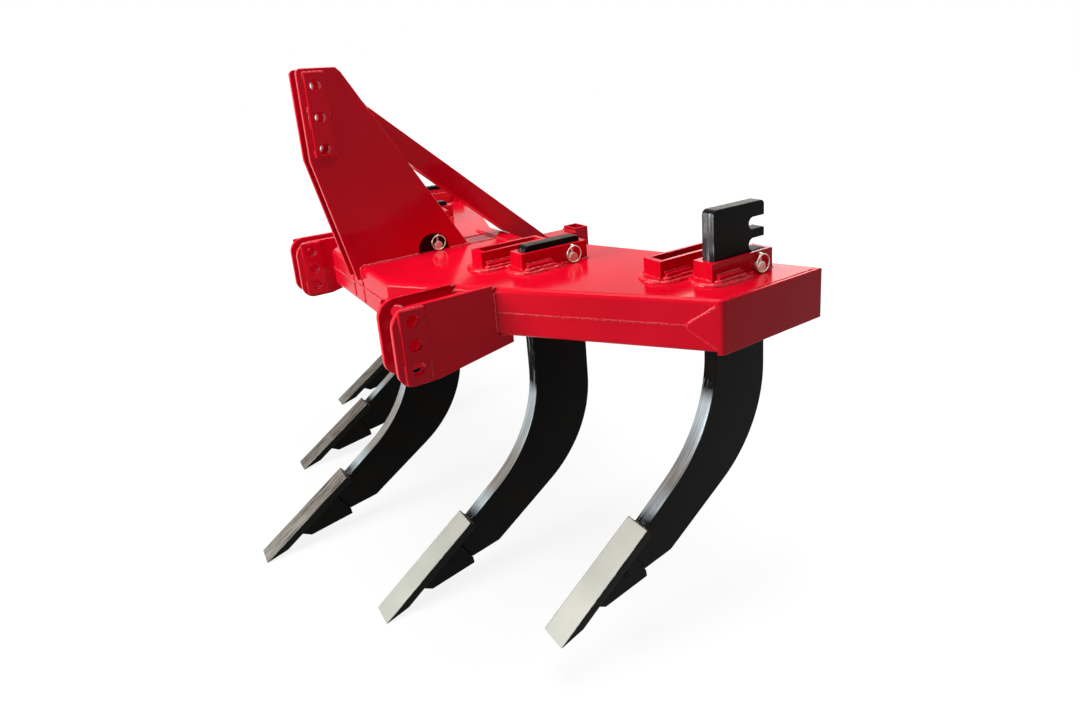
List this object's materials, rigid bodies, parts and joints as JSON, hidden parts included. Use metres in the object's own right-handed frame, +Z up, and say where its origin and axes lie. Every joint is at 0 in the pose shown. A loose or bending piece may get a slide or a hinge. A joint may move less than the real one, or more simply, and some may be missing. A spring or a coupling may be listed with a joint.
{
  "type": "subsoiler",
  "caption": "Tractor-mounted subsoiler: hollow V-shaped frame with a three-point hitch, curved height-adjustable shanks with bar points, and spare shank pockets",
  "frame": {"origin": "on the axis through the lowest pair of lower hitch holes, midway between the two lower hitch clevises", "axes": "+X to the machine's left, +Y to its rear (it is pulled towards -Y), +Z up, level as it works"},
  "size_m": [1.824, 1.1313, 1.271],
  "materials": {
    "frame_red": "gloss paint over welded steel",
    "shank_black": "semi-gloss paint over forged steel, worn bright on the front edge",
    "point_steel": "bare, scraped wear steel",
    "zinc": "zinc-plated steel"
  },
  "bodies": {
    "root": {"frame_upper_left": "frame_red", "frame_upper_right": "frame_red", "frame_upper_middle": "frame_red", "frame_lower_left": "frame_red", "frame_lower_right": "frame_red", "frame_lower_middle": "frame_red", "end_cap_left": "frame_red", "end_cap_right": "frame_red", "rear_plate": "frame_red", "spine": "frame_red", "rear_socket": "frame_red", "clevis_outer_left": "frame_red", "clevis_inner_left": "frame_red", "clevis_outer_right": "frame_red", "clevis_inner_right": "frame_red", "clevis_strip_left": "frame_red", "clevis_strip_right": "frame_red", "mast_plate_left": "frame_red", "mast_plate_right": "frame_red", "mast_doublers": "frame_red", "brace": "frame_red", "pocket_cheeks_left": "frame_red", "pocket_cheeks_right": "frame_red", "pocket_cheeks_middle": "frame_red", "pocket_blocks_left": "frame_red", "pocket_blocks_right": "frame_red", "pocket_blocks_middle": "frame_red", "pocket_pads_left": "frame_red", "pocket_pads_right": "frame_red", "pocket_bars_left": "frame_red", "pocket_bars_right": "frame_red", "shank_1": "shank_black", "shank_2": "shank_black", "shank_3": "shank_black", "shank_4": "shank_black", "shank_5": "shank_black", "point_1": "point_steel", "point_2": "point_steel", "point_3": "point_steel", "point_4": "point_steel", "point_5": "point_steel", "point_shoes": "shank_black", "shank_pins": "zinc", "lock_rings": "zinc"}
  },
  "joints": []
}
